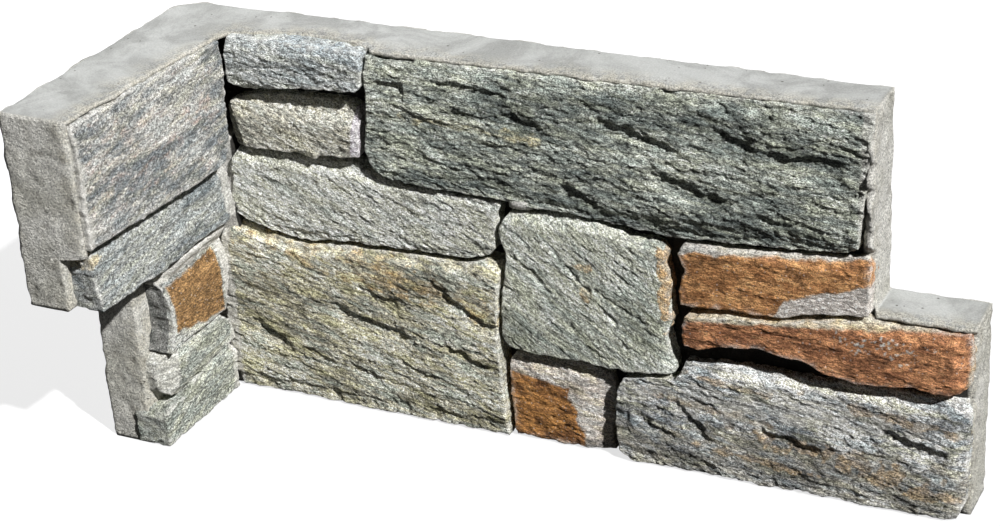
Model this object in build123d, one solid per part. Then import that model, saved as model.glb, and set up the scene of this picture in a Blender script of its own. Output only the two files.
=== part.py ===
"""Stone veneer inside corner: split stones bedded in a cast cement backing.

The backing is an L in plan, cast as one piece. Its two courses are shifted by one
step, so that each end of the L interlocks with the next panel. Fifteen split stones
sit in pockets of the cement on the two inner faces.

Everything is laid out from the inside corner line: x runs along the long leg, -y along
the short leg, z up from the bed. The finished pieces are then moved so that the origin
is in the middle of the footprint, on the bed.
"""

import os
from dataclasses import dataclass, field

from build123d import *

# Panel, in millimetres
HEIGHT = 200
COURSE = 100
LONG_REACH = 390
SHORT_REACH = 115
STEP = 48

# Cement backing; each lip reaches out over the stones by its first value at the leg's start
# and by its second at the leg's end, because the slabs below it lean
CEMENT = 24
LONG_FRONT = 16
SHORT_FRONT = -11
BACK_ROUND = 20
LIP = 2
LONG_LIP_OUT = (9, 3)
SHORT_LIP_OUT = (21, 13)
STEP_LIP_OUT = 3
END_LIP = 2
END_LIP_FOOT = 134

# Mortar that shows between stones: in the inside corner, and as a dab in one joint
CORNER_MORTAR = (20, 10, 44)
CORNER_MORTAR_FOOT = COURSE + 2
JOINT_MORTAR = (12, 10, 10)
JOINT_MORTAR_AT = (165, 126)

# Stones
SEAT = 8
BLANK_OUT = 34
SLAB_START = 92.5

# The sliver that broke off below a ledge: the share of its length that each end takes to run out,
# how far its step leans per millimetre of depth, and how far the cut stands clear of the face
SLIVER_RUN_OUT = 0.25
STEP_LEAN = 0.4
SLIVER_CLEAR = 0.4

LONG_BACK = LONG_FRONT + CEMENT
SHORT_BACK = SHORT_FRONT - CEMENT
CAP_TOP = HEIGHT - LIP
ORIGIN = Vector((LONG_REACH + SHORT_BACK) / 2, (LONG_BACK - SHORT_REACH) / 2, 0)

# On a leg's own plane, x runs along the leg, y is up and z stands out from the cement.
LONG_LEG = Plane(origin=(0, LONG_FRONT, 0), x_dir=(1, 0, 0), z_dir=(0, -1, 0))
SHORT_LEG = Plane(origin=(SHORT_FRONT, 0, 0), x_dir=(0, 1, 0), z_dir=(1, 0, 0))


@dataclass
class Ledge:
    """A layer's broken edge on a stone's face, from start to end. The sliver below it is
    split off to the given depth, and runs out to the face over the fade further down."""

    start: tuple
    end: tuple
    depth: float
    fade: float


@dataclass
class Stone:
    """One split stone: its outline on the leg, how far its face stands out at the middle,
    how much that grows per millimetre along and up, and how its edges are pitched back.
    A pitch is (width of the pitched strip, how far it falls back at the edge)."""

    name: str
    leg: Plane
    outline: list
    stand: float
    lean: tuple
    top: tuple
    bottom: tuple
    left: tuple
    right: tuple
    ledges: list = field(default_factory=list)

    def middle(self):
        """The middle of the outline's box."""
        alongs, ups = zip(*self.outline)
        return (min(alongs) + max(alongs)) / 2, (min(ups) + max(ups)) / 2

    def face_at(self, along, up):
        """How far the main face stands out at one point."""
        lean_along, lean_up = self.lean
        middle_along, middle_up = self.middle()
        return self.stand + lean_along * (along - middle_along) + lean_up * (up - middle_up)


LONG_STONES = [
    Stone(
        "long_top_left_stone",
        LONG_LEG,
        [
            (14, 199), (13, 188), (13.5, 176), (21, 172), (36, 174), (57, 177.5), (86, 179),
            (90, 183), (90, 199),
        ],
        stand=15,
        lean=(0.0, 0.05),
        top=(5, 4),
        bottom=(4, 3),
        left=(5, 3),
        right=(4, 2),
    ),
    Stone(
        "long_second_left_stone",
        LONG_LEG,
        [
            (8, 160), (13, 165), (26, 168), (50, 170), (77, 170.5), (84, 166), (82, 144),
            (62, 142), (59.5, 140), (52, 141.5), (22, 140), (12.5, 140.5), (9.5, 147),
        ],
        stand=14,
        lean=(0.02, 0.0),
        top=(12, 8),
        bottom=(4, 2),
        left=(7, 5),
        right=(4, 2),
    ),
    Stone(
        "long_top_slab",
        LONG_LEG,
        [
            (SLAB_START, CAP_TOP), (91.5, 169), (88.5, 148), (93, 138.5), (99, 135.5), (114, 133.5),
            (160, 132), (178, 129.5), (193, 130), (212, 127.5), (247, 123.5), (286, 126),
            (330, 129), (335.5, 132.5), (339, 158), (342, CAP_TOP),
        ],
        stand=10,
        lean=(-0.03, 0.0),
        top=(8, 3),
        bottom=(12, 5),
        left=(5, 2),
        right=(6, 2),
        ledges=[
            Ledge((120, 190), (176, 189), depth=2, fade=11),
            Ledge((159, 182), (191, 170), depth=2.5, fade=14),
            Ledge((207, 183), (253, 170), depth=3.5, fade=18),
            Ledge((266, 185), (291, 173.5), depth=3, fade=13),
            Ledge((284, 175), (337, 174), depth=2.5, fade=16),
            Ledge((233, 160), (281, 145), depth=3, fade=14),
            Ledge((187, 148), (216, 134), depth=2.5, fade=9),
            Ledge((284, 144), (310, 138.5), depth=2, fade=8),
        ],
    ),
    Stone(
        "long_middle_left_stone",
        LONG_LEG,
        [
            (8, 118), (9.5, 132), (12, 138), (36, 138.5), (58, 138), (79, 138.5), (88, 136),
            (98, 132.5), (114, 131.5), (158, 130), (159, 128), (156.5, 122), (155, 106),
            (152.5, 101.5), (140, 97.5), (103, 96.5), (68, 95.5), (50, 92.5), (36, 94.5),
            (13, 100), (7, 104),
        ],
        stand=12.5,
        lean=(-0.02, 0.0),
        top=(7, 3),
        bottom=(7, 3),
        left=(5, 2),
        right=(5, 3),
    ),
    Stone(
        "long_base_left_slab",
        LONG_LEG,
        [
            (0, 95), (7, 97.5), (14, 97), (24, 94.5), (36, 92), (49, 90), (68, 93), (105, 94),
            (141, 95), (151, 98), (158, 97.5), (156, 75), (154.5, 60), (155.5, 46), (157, 1),
            (1, 1), (-3, 10), (-4, 24), (-3, 60),
        ],
        stand=15.5,
        lean=(-0.01, 0.02),
        top=(9, 4),
        bottom=(8, 4),
        left=(5, 2),
        right=(4, 2),
        ledges=[
            Ledge((13, 90), (48, 87), depth=1.5, fade=10),
            Ledge((73, 74.5), (110, 65), depth=2, fade=11),
            Ledge((119, 86), (141, 67), depth=2.5, fade=12),
            Ledge((134, 72), (158, 61.5), depth=2.5, fade=12),
            Ledge((52, 63), (119, 45.5), depth=2.5, fade=15),
            Ledge((11, 45.5), (38, 29.5), depth=2.5, fade=13),
            Ledge((123, 50), (154, 36.5), depth=2.5, fade=13),
            Ledge((65, 28), (91, 20), depth=2, fade=9),
        ],
    ),
    Stone(
        "long_centre_stone",
        LONG_LEG,
        [
            (158.5, 115), (160, 120.5), (163, 125), (178, 127), (194, 128), (210, 125.5),
            (224, 121.5), (240, 119.5), (243.5, 116), (243, 110), (245, 100), (244.5, 86),
            (246, 81), (243, 71), (247, 57), (247, 52.5), (213, 49.5), (203, 51), (174, 50.5),
            (160, 52), (156.5, 58), (158, 80), (161, 100), (160, 108),
        ],
        stand=12,
        lean=(-0.02, 0.0),
        top=(7, 4),
        bottom=(6, 3),
        left=(5, 3),
        right=(6, 4),
    ),
    Stone(
        "long_upper_rust_stone",
        LONG_LEG,
        [
            (249, 117), (251.5, 121.5), (284, 123), (323, 126), (340, 127.5), (342, 123),
            (342, 112), (341, 100), (322, 97), (310, 95.5), (300, 92), (273, 91), (250, 89.5),
            (249, 96), (252.5, 108),
        ],
        stand=8,
        lean=(-0.015, 0.0),
        top=(8, 6),
        bottom=(4, 2),
        left=(4, 2),
        right=(5, 3),
    ),
    Stone(
        "long_rust_ledge_stone",
        LONG_LEG,
        [
            (251.5, 80), (253, 85.5), (284, 89), (298, 89.5), (309, 92.5), (322, 94.5),
            (342, COURSE - LIP), (388, COURSE - LIP), (389.5, 90), (389, 72), (384, 66),
            (362, 67.5), (336, 64.5), (323, 67), (314, 71), (286, 74.5), (270, 72),
            (259, 68.5), (252, 69),
        ],
        stand=10,
        lean=(-0.02, 0.0),
        top=(7, 6),
        bottom=(6, 4),
        left=(4, 2),
        right=(8, 6),
    ),
    Stone(
        "long_base_rust_stone",
        LONG_LEG,
        [
            (158, 42), (160, 46), (174, 47), (202, 47.5), (212, 43), (213.5, 36), (213, 20),
            (211, 10), (213, 1), (160, 1), (159.5, 12), (158, 34),
        ],
        stand=10,
        lean=(0.0, 0.0),
        top=(8, 4),
        bottom=(6, 3),
        left=(4, 2),
        right=(16, 5),
    ),
    Stone(
        "long_base_right_slab",
        LONG_LEG,
        [
            (217, 39), (220.5, 45), (231, 47.5), (246, 49.5), (249.5, 53), (251, 58),
            (270, 60), (286, 61), (318, 60.5), (362, 62), (387, 62.5), (389.5, 56), (389, 10),
            (385, 1), (224, 1), (218, 5), (216, 13), (215.5, 26),
        ],
        stand=10,
        lean=(-0.018, -0.06),
        top=(8, 4),
        bottom=(8, 3),
        left=(7, 4),
        right=(7, 4),
        ledges=[
            Ledge((245, 41), (271, 16), depth=2.5, fade=9),
            Ledge((227, 27.5), (249, 19.5), depth=2.5, fade=9),
            Ledge((286, 33.5), (326, 24), depth=3, fade=13),
            Ledge((344, 43), (388, 36), depth=2.5, fade=13),
        ],
    ),
]

SHORT_STONES = [
    Stone(
        "short_top_slab",
        SHORT_LEG,
        [
            (-113, 195), (-109, CAP_TOP), (-1, CAP_TOP), (-0.5, 188), (-2.5, 168), (-3, 146),
            (-6, 136), (-18, 134.5), (-52, 133.5), (-95, 134.5), (-113, 134.5),
        ],
        stand=20.5,
        lean=(0.08, 0.0),
        top=(8, 3),
        bottom=(5, 2),
        left=(4, 2),
        right=(4, 2),
    ),
    Stone(
        "short_second_stone",
        SHORT_LEG,
        [
            (-110, 121), (-109, 127), (-104, 130.5), (-65, 129.5), (-13, 130.5), (3, 130),
            (4, 104), (-4, 101), (-23, 102), (-60, 99), (-110, 100),
        ],
        stand=15,
        lean=(0.035, 0.0),
        top=(5, 3),
        bottom=(4, 2),
        left=(4, 3),
        right=(4, 2),
    ),
    Stone(
        "short_rust_stone",
        SHORT_LEG,
        [
            (-60, 51), (-56, 61), (-55, 72), (-57, 86), (-60, 94), (-44, 96.5), (-14, 97.5),
            (-1, 96), (-1, 78), (-6, 60), (-10, 51.5), (-27, 51), (-46, 52.5),
        ],
        stand=14,
        lean=(0.0, -0.02),
        top=(20, 9),
        bottom=(4, 2),
        left=(3, 2),
        right=(3, 1.5),
    ),
    Stone(
        "short_fourth_stone",
        SHORT_LEG,
        [
            (-64, 30), (-66, 38), (-64, 46), (-59, 49), (-32, 48.5), (-11, 48.5), (-5, 42),
            (-2, 34), (-3, 31), (-18, 29.5), (-40, 27), (-50, 24), (-58, 25),
        ],
        stand=12.5,
        lean=(0.0, 0.0),
        top=(5, 3),
        bottom=(7, 4),
        left=(12, 7),
        right=(4, 2),
    ),
    Stone(
        "short_base_stone",
        SHORT_LEG,
        [
            (-66, 16), (-63, 21), (-57, 21.5), (-48, 20.5), (-38, 24.5), (-18, 27), (-5, 28.5),
            (-1.5, 25), (-1, 1), (-65, 1),
        ],
        stand=11,
        lean=(0.0, 0.0),
        top=(7, 4),
        bottom=(5, 3),
        left=(5, 3),
        right=(5, 2),
    ),
]


def facet(leg, along, up, stand, rise_along, rise_up):
    """A cleft plane through one point of the stone's face, rising by the given slopes."""
    at = leg.from_local_coords((along, up, stand))
    outward = leg.x_dir * -rise_along + leg.y_dir * -rise_up + leg.z_dir
    return Plane(origin=at, z_dir=outward)


def cleft_planes(stone):
    """The main face, then the four strips pitched back along the edges."""
    alongs, ups = zip(*stone.outline)
    middle = stone.middle()
    lean_along, lean_up = stone.lean
    planes = [facet(stone.leg, *middle, stone.stand, lean_along, lean_up)]
    for edge, (width, fall), sign in (
        (max(ups), stone.top, -1),
        (min(ups), stone.bottom, 1),
    ):
        start = edge + sign * width
        slope = lean_up + sign * fall / width
        stand = stone.face_at(middle[0], start)
        planes.append(facet(stone.leg, middle[0], start, stand, lean_along, slope))
    for edge, (width, fall), sign in (
        (max(alongs), stone.right, -1),
        (min(alongs), stone.left, 1),
    ):
        start = edge + sign * width
        slope = lean_along + sign * fall / width
        stand = stone.face_at(start, middle[1])
        planes.append(facet(stone.leg, start, middle[1], stand, slope, lean_up))
    return planes


def sliver(stone, ledge):
    """What broke off below a ledge: a wedge whose step leans a little, so that it hides nothing. Its
    floor rises to the face over the fade, and both its ends run out to points on the ledge."""
    start, end = Vector(*ledge.start), Vector(*ledge.end)
    run = end - start
    down = Vector(run.Y, -run.X).normalized()
    near, far = start + run * SLIVER_RUN_OUT, end - run * SLIVER_RUN_OUT

    def on_face(point, lift):
        stand = stone.face_at(point.X, point.Y)
        return stone.leg.from_local_coords((point.X, point.Y, stand + lift))

    tip_near, tip_far = (on_face(point, SLIVER_CLEAR) for point in (start, end))
    foot_near, foot_far = (on_face(point + down * ledge.fade, SLIVER_CLEAR) for point in (near, far))
    root_shift = down * ledge.depth * STEP_LEAN
    root_near, root_far = (on_face(point + root_shift, -ledge.depth) for point in (near, far))
    loops = [
        (tip_near, tip_far, foot_far, foot_near),
        (tip_near, tip_far, root_far, root_near),
        (root_near, root_far, foot_far, foot_near),
        (tip_near, root_near, foot_near),
        (tip_far, root_far, foot_far),
    ]
    return Solid(Shell([Face(Wire.make_polygon(loop)) for loop in loops]))


def split_stone(stone):
    """A prism of the outline, split along its cleft planes, less the slivers below its ledges."""
    seat_plane = stone.leg.offset(-SEAT)
    outline = seat_plane * make_face(Polyline(*stone.outline, close=True))
    solid = extrude(outline, amount=SEAT + BLANK_OUT, dir=stone.leg.z_dir)
    for plane in cleft_planes(stone):
        solid = split(solid, bisect_by=plane, keep=Keep.BOTTOM)
    for ledge in stone.ledges:
        solid -= sliver(stone, ledge)
    return solid


def block(x_range, y_range, z_range):
    """A plain box between two values on each axis."""
    (x0, x1), (y0, y1), (z0, z1) = x_range, y_range, z_range
    return Pos(x0, y0, z0) * Box(x1 - x0, y1 - y0, z1 - z0, align=Align.MIN)


def backing_course(long_end, short_end, low, high):
    """One course of the L, between two heights."""
    plan = Polyline(
        (SHORT_BACK, LONG_BACK),
        (long_end, LONG_BACK),
        (long_end, LONG_FRONT),
        (SHORT_FRONT, LONG_FRONT),
        (SHORT_FRONT, -short_end),
        (SHORT_BACK, -short_end),
        close=True,
    )
    course = extrude(Pos(0, 0, low) * make_face(plan), amount=high - low)
    outer_corner = (SHORT_BACK, LONG_BACK, (low + high) / 2)
    outer_edge = course.edges().filter_by(Axis.Z).sort_by_distance(outer_corner)[0]
    return fillet(outer_edge, BACK_ROUND)


def lip(points, low, high):
    """A flat film of cement with the given plan, between two heights."""
    return extrude(Pos(0, 0, low) * make_face(Polyline(*points, close=True)), amount=high - low)


def cement_lips(long_upper_end):
    """The films that ran over the stones in the mould: on both top slabs, on the step, and down one end."""
    near, far = LONG_LIP_OUT
    films = lip(
        [
            (SLAB_START, LONG_FRONT),
            (long_upper_end, LONG_FRONT),
            (long_upper_end, LONG_FRONT - far),
            (SLAB_START, LONG_FRONT - near),
        ],
        CAP_TOP,
        HEIGHT,
    )
    near, far = SHORT_LIP_OUT
    films += lip(
        [
            (SHORT_FRONT, LONG_FRONT),
            (SHORT_FRONT, -SHORT_REACH),
            (SHORT_FRONT + far, -SHORT_REACH),
            (SHORT_FRONT + near, 0),
            (SHORT_FRONT + near, LONG_FRONT),
        ],
        CAP_TOP,
        HEIGHT,
    )
    films += block(
        (long_upper_end, LONG_REACH),
        (LONG_FRONT - STEP_LIP_OUT, LONG_FRONT),
        (COURSE - LIP, COURSE),
    )
    films += block(
        (SHORT_FRONT, SHORT_FRONT + far),
        (-SHORT_REACH, END_LIP - SHORT_REACH),
        (END_LIP_FOOT, HEIGHT),
    )
    return films


def shown_mortar():
    """The mortar in the inside corner and the dab in the joint, both grown out of the backing."""
    width, out, tall = CORNER_MORTAR
    corner = Pos(SHORT_FRONT, LONG_FRONT - out, CORNER_MORTAR_FOOT) * Box(width, out, tall, align=Align.MIN)
    width, out, tall = JOINT_MORTAR
    along, foot = JOINT_MORTAR_AT
    return corner + Pos(along, LONG_FRONT - out, foot) * Box(width, out, tall, align=Align.MIN)


def cement_backing(stones):
    """Two stepped courses, the films over the stones, the mortar that shows, and the stones' pockets."""
    long_upper_end = LONG_REACH - STEP
    short_lower_end = SHORT_REACH - STEP
    cement = backing_course(LONG_REACH, short_lower_end, 0, COURSE)
    cement += backing_course(long_upper_end, SHORT_REACH, COURSE, HEIGHT)
    cement += cement_lips(long_upper_end)
    cement += shown_mortar()
    for stone in stones:
        cement -= stone
    return cement.solids().sort_by(SortBy.VOLUME)[-1]


def main():
    os.makedirs("parts", exist_ok=True)
    pieces = {stone.name: split_stone(stone) for stone in LONG_STONES + SHORT_STONES}
    pieces["cement_backing"] = cement_backing(list(pieces.values()))
    for name, piece in pieces.items():
        export_step(Pos(-ORIGIN.X, -ORIGIN.Y, 0) * piece, f"parts/{name}.step")
        print(name, round(piece.volume), piece.bounding_box().size)


main()
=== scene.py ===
# %% [markdown]
# # A stone veneer inside corner
# Fifteen split stones sit in one cast cement backing, bent round an inside corner. The solids give each
# stone its outline, its place and the few flat planes that it was split along. This lesson dresses them:
# every stone gets a new skin with layers, ledges and bruised edges, and the cement gets its cast surface.

# %% Load the solids as a fixed frame
from dataclasses import dataclass, field

import bpy
import numpy as np
from mathutils import Matrix, Vector


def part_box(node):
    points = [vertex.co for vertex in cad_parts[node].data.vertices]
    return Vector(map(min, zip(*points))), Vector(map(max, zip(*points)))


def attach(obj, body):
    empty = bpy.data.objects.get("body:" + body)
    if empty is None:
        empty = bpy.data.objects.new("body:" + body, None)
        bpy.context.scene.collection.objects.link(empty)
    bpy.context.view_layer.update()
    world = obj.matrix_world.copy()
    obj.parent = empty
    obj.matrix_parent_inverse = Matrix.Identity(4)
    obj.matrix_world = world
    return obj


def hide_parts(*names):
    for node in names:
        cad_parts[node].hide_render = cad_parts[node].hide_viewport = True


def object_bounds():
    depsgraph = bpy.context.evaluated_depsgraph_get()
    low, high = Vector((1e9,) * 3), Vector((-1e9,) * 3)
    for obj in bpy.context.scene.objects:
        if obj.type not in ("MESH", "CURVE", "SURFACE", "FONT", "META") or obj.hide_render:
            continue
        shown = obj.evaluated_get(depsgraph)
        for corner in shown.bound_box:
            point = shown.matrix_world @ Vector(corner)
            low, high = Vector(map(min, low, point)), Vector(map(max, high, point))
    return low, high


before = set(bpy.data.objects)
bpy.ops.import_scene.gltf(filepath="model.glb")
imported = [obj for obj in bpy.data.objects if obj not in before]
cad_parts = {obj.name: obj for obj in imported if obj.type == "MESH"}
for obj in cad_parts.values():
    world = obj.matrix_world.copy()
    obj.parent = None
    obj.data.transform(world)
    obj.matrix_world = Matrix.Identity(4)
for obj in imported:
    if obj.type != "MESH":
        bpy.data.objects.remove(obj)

cad_box = [list(corner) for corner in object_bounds()]
print("solids:", len(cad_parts), "box in metres:", cad_box)

# %% [markdown]
# ## Two legs, one way of measuring
# A mason thinks of each leg as a flat wall: how far along, how high, how far out of the cement. The two
# legs differ only in which way those three directions point, so every stone is shaped in its leg's own
# millimetres and turned into the room at the very end. That keeps one set of formulas for both walls.

# %% Leg coordinates
MM = 0.001
CEMENT = 24.0
LONG_FACE_OUT = 16.0
SHORT_FACE_OUT = 11.0

low, high = (np.array(corner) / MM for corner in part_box("cement_backing"))
long_front = high[1] - CEMENT
short_front = low[0] + CEMENT
corner_x = short_front + SHORT_FACE_OUT
corner_y = long_front - LONG_FACE_OUT


@dataclass
class Leg:
    """A wall: the point where its three measures are zero, and the directions along, up and out."""

    origin: tuple
    axes: tuple

    def measure(self, points):
        """Room millimetres to (along, up, out)."""
        return (np.asarray(points) - self.origin) @ np.array(self.axes, dtype=float).T

    def place(self, points):
        """(along, up, out) back to room millimetres."""
        return np.asarray(points) @ np.array(self.axes, dtype=float) + self.origin


LEGS = {
    "long": Leg((corner_x, long_front, 0.0), ((1, 0, 0), (0, 0, 1), (0, -1, 0))),
    "short": Leg((short_front, corner_y, 0.0), ((0, 1, 0), (0, 0, 1), (1, 0, 0))),
}
print("inside corner at", round(corner_x, 1), round(corner_y, 1), "mm")

# %% [markdown]
# ## Noise that can be counted on
# Broken stone is irregular at every size at once. A picture of noise would repeat or blur, so the noise
# is worked out here: each corner of a grid of cells has a random slope, and a point blends the eight
# slopes around it. Adding finer and weaker copies gives roughness. Seeds make each run the same.

# %% Gradient noise for whole arrays


def noise(points, seed):
    """Each cell corner has a random slope; a point takes the slopes' heights, blended by a smooth step."""
    points = np.asarray(points, dtype=float)
    cell = np.floor(points).astype(int)
    inside = points - cell
    fade = inside**3 * (inside * (inside * 6 - 15) + 10)
    draw = np.random.default_rng(seed)
    shuffle = draw.permutation(256)
    slopes = draw.normal(size=(256, 3))
    slopes /= np.linalg.norm(slopes, axis=1, keepdims=True)
    total = np.zeros(points.shape[:-1])
    for step in np.ndindex(2, 2, 2):
        at = cell + step
        pick = shuffle[at[..., 2] & 255]
        pick = shuffle[(at[..., 1] + pick) & 255]
        pick = shuffle[(at[..., 0] + pick) & 255]
        weight = np.prod(np.where(np.array(step) == 1, fade, 1 - fade), axis=-1)
        total += weight * np.sum(slopes[pick] * (inside - step), axis=-1)
    return total * 1.6


def rough(points, seed, octaves=4, gain=0.5):
    """Noise, plus copies at twice the fineness and a fixed share of the strength."""
    return sum(gain**k * noise(np.asarray(points) * 2**k, seed + k) for k in range(octaves))


def smooth_step(value, start, end):
    """0 before start, 1 after end, and an S-shaped rise between them."""
    t = np.clip((value - start) / (end - start), 0, 1)
    return t * t * (3 - 2 * t)


def soften(height, passes):
    """Each point becomes the mean of itself and its neighbours, again and again."""
    for _ in range(passes):
        wide = np.pad(height, 1, mode="edge")
        height = (wide[1:-1, 1:-1] * 2 + wide[:-2, 1:-1] + wide[2:, 1:-1] + wide[1:-1, :-2] + wide[1:-1, 2:]) / 6
    return height


print("noise at three points:", noise([[0.3, 0.2, 0.1], [5.5, 2.1, 0.4], [9.9, 9.9, 9.9]], 1).round(3))

# %% [markdown]
# ## Reading a stone from its solid
# The solid already knows the stone's outline, the planes it was split along and its main ledges. Copying those
# numbers here would let the two drift apart, so they are read back from the solid's triangles: the flat back
# gives the outline, and the triangles that face outwards give the height of the face at any place.

# %% Outline and face of a solid
SLACK = 0.002


def triangles_of(node, leg):
    """The solid's triangles in leg millimetres, as (count, 3 corners, 3 measures)."""
    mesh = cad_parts[node].data
    mesh.calc_loop_triangles()
    places = np.zeros(len(mesh.vertices) * 3)
    mesh.vertices.foreach_get("co", places)
    corners = np.zeros(len(mesh.loop_triangles) * 3, dtype=int)
    mesh.loop_triangles.foreach_get("vertices", corners)
    return leg.measure(places.reshape(-1, 3)[corners] / MM).reshape(-1, 3, 3)


def outline_of(triangles):
    """The rim of the flat back, anticlockwise seen from the front: its edges have a triangle on one side only."""
    back = triangles[..., 2].min()
    flat = triangles[np.all(triangles[..., 2] < back + 0.05, axis=1)][..., :2].round(2)
    points, corner = np.unique(flat.reshape(-1, 2), axis=0, return_inverse=True)
    corner = corner.reshape(-1, 3)
    edges = {(a, b) for tri in corner for a, b in zip(tri, np.roll(tri, -1))}
    follows = {b: a for a, b in edges if (b, a) not in edges}
    loop = [next(iter(sorted(follows)))]
    while follows[loop[-1]] != loop[0]:
        loop.append(follows[loop[-1]])
    return points[loop], back


def solid_face(triangles, places):
    """How far out the solid stands at each place of a net. Every triangle that faces out gives the places inside
    it the blend of its corners' heights, by their shares of its area, and the furthest out wins. A place just
    outside them all takes a height between its neighbours' in the same row."""
    first, second = triangles[:, 1] - triangles[:, 0], triangles[:, 2] - triangles[:, 0]
    area = first[:, 0] * second[:, 1] - first[:, 1] * second[:, 0]
    out = np.full(places.shape[:-1], -np.inf)
    for corner, a, b, whole in zip(triangles[:, 0], first, second, area):
        if whole < 0.01:
            continue
        offset = places - corner[:2]
        share_a = (offset[..., 0] * b[1] - offset[..., 1] * b[0]) / whole
        share_b = (offset[..., 1] * a[0] - offset[..., 0] * a[1]) / whole
        inside = (share_a > -SLACK) & (share_b > -SLACK) & (share_a + share_b < 1 + SLACK)
        out = np.where(inside, np.maximum(out, corner[2] + share_a * a[2] + share_b * b[2]), out)
    column = np.arange(out.shape[1])
    for row in out:
        known = np.isfinite(row)
        row[~known] = np.interp(column[~known], column[known], row[known])
    return out


for node in ("long_top_slab", "short_top_slab"):
    found, back = outline_of(triangles_of(node, LEGS[node.split("_")[0]]))
    print(node, "outline points:", len(found), "back at", round(back, 2))

# %% [markdown]
# ## A net over an odd outline
# A stone's outline has four main corners and four crooked sides. A Coons patch fills it with a regular net:
# each point of the net is the blend of the two points across from each other on the long sides, plus the
# blend across the short sides, less the blend of the four corners, which was counted twice. A flat grid
# cut to the outline would leave jagged edges; this net ends exactly on the rim.

# %% Coons patch


def along_line(points, shares):
    """Points at the given shares of a polyline's length."""
    length = np.concatenate([[0], np.cumsum(np.linalg.norm(np.diff(points, axis=0), axis=1))])
    return np.stack([np.interp(shares * length[-1], length, points[:, k]) for k in (0, 1)], axis=-1)


def four_sides(outline):
    """Cuts the outline at the points furthest out along the four diagonals: bottom, right, top and left."""
    spread = (outline - outline.min(0)) / np.ptp(outline, axis=0)
    diagonals = np.array([[-1, -1], [1, -1], [1, 1], [-1, 1]])
    start = [int(np.argmax(spread @ d)) for d in diagonals]
    sides = []
    for here, there in zip(start, start[1:] + start[:1]):
        count = (there - here) % len(outline) + 1
        sides.append(outline[(here + np.arange(count)) % len(outline)])
    bottom, right, top, left = sides
    return bottom, right, top[::-1], left[::-1]


def coons_net(outline, spacing):
    """S(s,t) = (1-t)B(s) + tT(s) + (1-s)L(t) + sR(t) - the bilinear blend of the corners."""
    bottom, right, top, left = four_sides(outline)
    width, height = np.ptp(outline, axis=0)
    s = np.linspace(0, 1, int(round(width / spacing)) + 1)
    t = np.linspace(0, 1, int(round(height / spacing)) + 1)
    low_edge, high_edge = along_line(bottom, s), along_line(top, s)
    left_edge, right_edge = along_line(left, t), along_line(right, t)
    ss, tt = s[None, :, None], t[:, None, None]
    net = (1 - tt) * low_edge[None] + tt * high_edge[None] + (1 - ss) * left_edge[:, None] + ss * right_edge[:, None]
    net -= (1 - tt) * ((1 - ss) * bottom[0] + ss * bottom[-1]) + tt * ((1 - ss) * top[0] + ss * top[-1])
    sides = (low_edge[None], high_edge[None], left_edge[:, None], right_edge[:, None])
    inset = np.min([np.linalg.norm(net - side, axis=-1) for side in sides], axis=0)
    return net, inset


print("net of the long top slab:", coons_net(outline_of(triangles_of("long_top_slab", LEGS["long"]))[0], 1.0)[0].shape)

# %% [markdown]
# ## What splitting leaves on a face
# These stones are layered. A blow runs along a layer for a while, jumps to the next one and leaves a ledge
# that overhangs its neighbour below. Between ledges the face is torn into small ridges drawn out along the
# layers. So the relief is worked out in the layers' own directions: along them, and across them.

# %% Layers, ledges and tears


def layer_frame(points, dip):
    """Turns (along, up, out) so that the first measure runs along the layers, which fall to the right by dip."""
    turn = np.radians(dip)
    run = points[..., 0] * np.cos(turn) - points[..., 1] * np.sin(turn)
    across = points[..., 0] * np.sin(turn) + points[..., 1] * np.cos(turn)
    return np.stack([run, across, points[..., 2]], axis=-1)


def ledges(layers, thickness, seed, sparse=0.0):
    """Counts layers upwards, with wavy borders. The height is 1 at a layer's lower edge and falls to 0 at its
    upper edge, where the next layer starts again at 1. Each layer fades in and out along its run; sparse ledges
    fade out over most of it."""
    run, across = layers[..., 0], layers[..., 1]
    zero = np.zeros_like(run)
    count = across / thickness
    count = count + 0.8 * noise(np.stack([run / (7 * thickness), across / (3 * thickness), zero], -1), seed)
    count = count + 0.4 * rough(np.stack([run, across * 2, zero], -1) / (1.6 * thickness), seed + 10, octaves=3)
    number = np.floor(count)
    fade = noise(np.stack([run / (4 * thickness), number * 3.7, zero + 0.5], -1), seed + 20)
    return (1 - (count - number)) * smooth_step(fade, sparse - 0.35, sparse + 0.35)


def tears(layers, length, seed, stretch=2.2):
    """Rough ridges, drawn out along the layers."""
    return rough(layers / np.array([length, length / stretch, length]), seed, octaves=4, gain=0.6)


print("ledge heights:", ledges(np.array([[0.0, z, 0.0] for z in range(5)]), 8.0, 3).round(2))

# %% [markdown]
# ## From net to closed stone
# The face is the net pushed out by the split planes and the relief, with its rim rounded over. The sides are
# a band carried round the rim from the face back into the cement, and one flat face closes the back. Making
# all of it as arrays, then handing them to the mesh at once, keeps half a million points quick.

# %% Stone skin
SPACING = 0.6
SIDE_SPACING = 1.2
RIM_READ = 7.0


@dataclass
class Split:
    """How one stone broke: its layers' dip and thickness; the heights of its small ledges, of tears and of swells;
    the radius of its arris; the sides, of b t l r, where it broke crisply; how far its top rim is set back, which
    opens the gap above; how far it reaches past its solid on the left and the right; and any dents of its own.
    Millimetres, and dip in degrees."""

    dip: float = 8.0
    layer: float = 9.0
    ledge: float = 1.0
    tear: float = 0.8
    swell: float = 1.0
    arris: float = 0.45
    crisp: str = "blr"
    top_back: float = 0.0
    reach: tuple = (0.0, 0.0)
    dents: object = None


def rim_of(rows, columns):
    """Indices round the edge of a net, anticlockwise from its lower left corner."""
    index = np.arange(rows * columns).reshape(rows, columns)
    return np.concatenate([index[0, :-1], index[:-1, -1], index[-1, :0:-1], index[:0:-1, 0]])


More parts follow.
